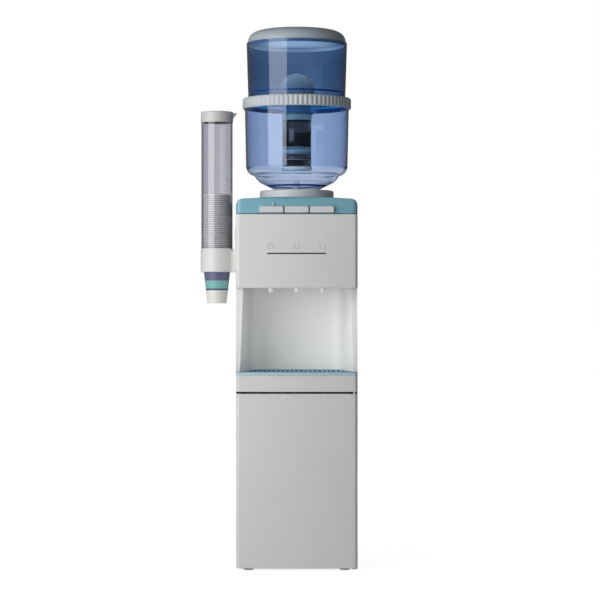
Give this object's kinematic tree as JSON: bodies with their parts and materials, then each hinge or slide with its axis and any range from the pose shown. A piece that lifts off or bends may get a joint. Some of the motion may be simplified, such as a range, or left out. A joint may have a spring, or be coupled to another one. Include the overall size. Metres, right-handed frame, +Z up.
{
  "type": "water cooler",
  "caption": "Floor-standing water cooler with dispensing keys, a tap niche, a storage door, a purifier bottle of stacked tanks on top and a cup dispenser at its side.",
  "frame": {"origin": "centre of the overall box's footprint, on the floor", "axes": "+Z up, +Y from the front to the back, +X to the right as seen from the front"},
  "size_m": [0.403, 0.3416, 1.3962],
  "materials": {
    "cabinet_plastic": "white, satin moulded",
    "painted_steel": "white powder coat",
    "cover_plastic": "light blue-green, satin",
    "key_plastic": "pale grey, satin",
    "collar_plastic": "grey, satin",
    "ring_plastic": "grey, satin",
    "lid_plastic": "grey, satin",
    "tank_plastic": "clear blue",
    "clear_plastic": "clear",
    "tray_plastic": "blue-green, satin",
    "dark_plastic": "dark grey, fine texture",
    "black_plastic": "black, satin",
    "cap_plastic": "grey, satin",
    "foot_rubber": "black, matte",
    "gasket_rubber": "grey, soft",
    "stainless_steel": "brushed",
    "black_enamel": "black enamel",
    "dome_ceramic": "porous, unglazed",
    "insulation_foam": "expanded foam",
    "cup_paper": "smooth coated paper",
    "lens_plastic": "frosted clear"
  },
  "bodies": {
    "cabinet": {"base_pan": "painted_steel", "side_panel_left": "painted_steel", "side_panel_right": "painted_steel", "rear_cover": "painted_steel", "foot_front_left": "foot_rubber", "foot_front_right": "foot_rubber", "foot_rear_left": "foot_rubber", "foot_rear_right": "foot_rubber", "condenser": "black_enamel", "compressor": "black_enamel", "nose_panel": "cabinet_plastic", "niche_liner": "cabinet_plastic", "lower_rail": "cabinet_plastic", "storage_liner": "cabinet_plastic", "tap_hot": "cabinet_plastic", "tap_normal": "cabinet_plastic", "tap_cold": "cabinet_plastic", "cup_wall_plate": "cabinet_plastic", "cup_housing": "cabinet_plastic", "feed_spike": "cabinet_plastic", "accent_strip": "dark_plastic", "door_magnet": "dark_plastic", "power_inlet": "black_plastic", "lens_hot": "lens_plastic", "lens_normal": "lens_plastic", "lens_cold": "lens_plastic", "top_cover": "cover_plastic", "bottle_collar": "collar_plastic", "drain_plug": "collar_plastic", "cup_release_ring": "collar_plastic", "cup_tube": "clear_plastic", "cold_tank": "stainless_steel", "hot_tank": "stainless_steel", "door_hinge_top": "stainless_steel", "door_hinge_bottom": "stainless_steel", "tank_jacket": "insulation_foam"},
    "door": {"door_shell": "cabinet_plastic", "door_liner": "cabinet_plastic", "door_gasket": "gasket_rubber"},
    "hot_key": {"key_hot": "key_plastic"},
    "normal_key": {"key_normal": "key_plastic"},
    "cold_key": {"key_cold": "key_plastic"},
    "lock_slide": {"child_lock": "cabinet_plastic"},
    "tray": {"drip_tray": "tray_plastic"},
    "grille": {"drip_grille": "tray_plastic"},
    "bottle_base": {"lower_tank": "tank_plastic"},
    "bottle_ring": {"coupling_ring": "ring_plastic"},
    "bottle_top": {"upper_tank": "tank_plastic", "ceramic_dome": "dome_ceramic", "cartridge_head": "cap_plastic", "cartridge_body": "black_plastic", "cartridge_base": "cap_plastic"},
    "bottle_lid": {"tank_lid": "lid_plastic"},
    "tube_lid": {"cup_tube_lid": "cabinet_plastic"},
    "cups": {"cup_stack": "cup_paper"},
    "free_cup": {"next_cup": "cup_paper"},
    "heating_rocker": {"heating_switch": "dark_plastic"},
    "cooling_rocker": {"cooling_switch": "dark_plastic"}
  },
  "joints": [
    {"name": "door_hinge", "type": "hinge", "parent": "cabinet", "child": "door", "pos_m": [0.1935, -0.15075, 0.2288], "axis": [0, 0, 1], "range_deg": [0, 110]},
    {"name": "hot_key_press", "type": "slide", "parent": "cabinet", "child": "hot_key", "axis": [0, 1, 0], "range_m": [0, 0.004], "stiffness_N_per_m": 300, "springref_m": -0.003},
    {"name": "normal_key_press", "type": "slide", "parent": "cabinet", "child": "normal_key", "axis": [0, 1, 0], "range_m": [0, 0.004], "stiffness_N_per_m": 300, "springref_m": -0.003},
    {"name": "cold_key_press", "type": "slide", "parent": "cabinet", "child": "cold_key", "axis": [0, 1, 0], "range_m": [0, 0.004], "stiffness_N_per_m": 300, "springref_m": -0.003},
    {"name": "lock_move", "type": "slide", "parent": "cabinet", "child": "lock_slide", "axis": [1, 0, 0], "range_m": [0, 0.008]},
    {"name": "tray_lift", "type": "slide", "parent": "cabinet", "child": "tray", "axis": [0, 0, 1], "range_m": [0, 0.06]},
    {"name": "grille_lift", "type": "slide", "parent": "tray", "child": "grille", "axis": [0, 0, 1], "range_m": [0, 0.06]},
    {"name": "bottle_lift", "type": "slide", "parent": "cabinet", "child": "bottle_base", "axis": [0, 0, 1], "range_m": [0, 0.12]},
    {"name": "ring_turn", "type": "hinge", "parent": "bottle_base", "child": "bottle_ring", "pos_m": [0.0465, -0.00275, 1.2027], "axis": [0, 0, 1], "range_deg": [0, 30]},
    {"name": "bottle_top_lift", "type": "slide", "parent": "bottle_base", "child": "bottle_top", "axis": [0, 0, 1], "range_m": [0, 0.2]},
    {"name": "lid_lift", "type": "slide", "parent": "bottle_top", "child": "bottle_lid", "axis": [0, 0, 1], "range_m": [0, 0.1]},
    {"name": "tube_lid_lift", "type": "slide", "parent": "cabinet", "child": "tube_lid", "axis": [0, 0, 1], "range_m": [0, 0.06]},
    {"name": "cup_stack_lift", "type": "slide", "parent": "cabinet", "child": "cups", "axis": [0, 0, 1], "range_m": [0, 0.17]},
    {"name": "cup_pull", "type": "slide", "parent": "cabinet", "child": "free_cup", "axis": [0, 0, -1], "range_m": [0, 0.1]},
    {"name": "heating_rock", "type": "hinge", "parent": "cabinet", "child": "heating_rocker", "pos_m": [0.139, 0.15475, 0.33], "axis": [1, 0, 0], "range_deg": [-14, 0]},
    {"name": "cooling_rock", "type": "hinge", "parent": "cabinet", "child": "cooling_rocker", "pos_m": [0.17, 0.15475, 0.33], "axis": [1, 0, 0], "range_deg": [-14, 0]}
  ]
}
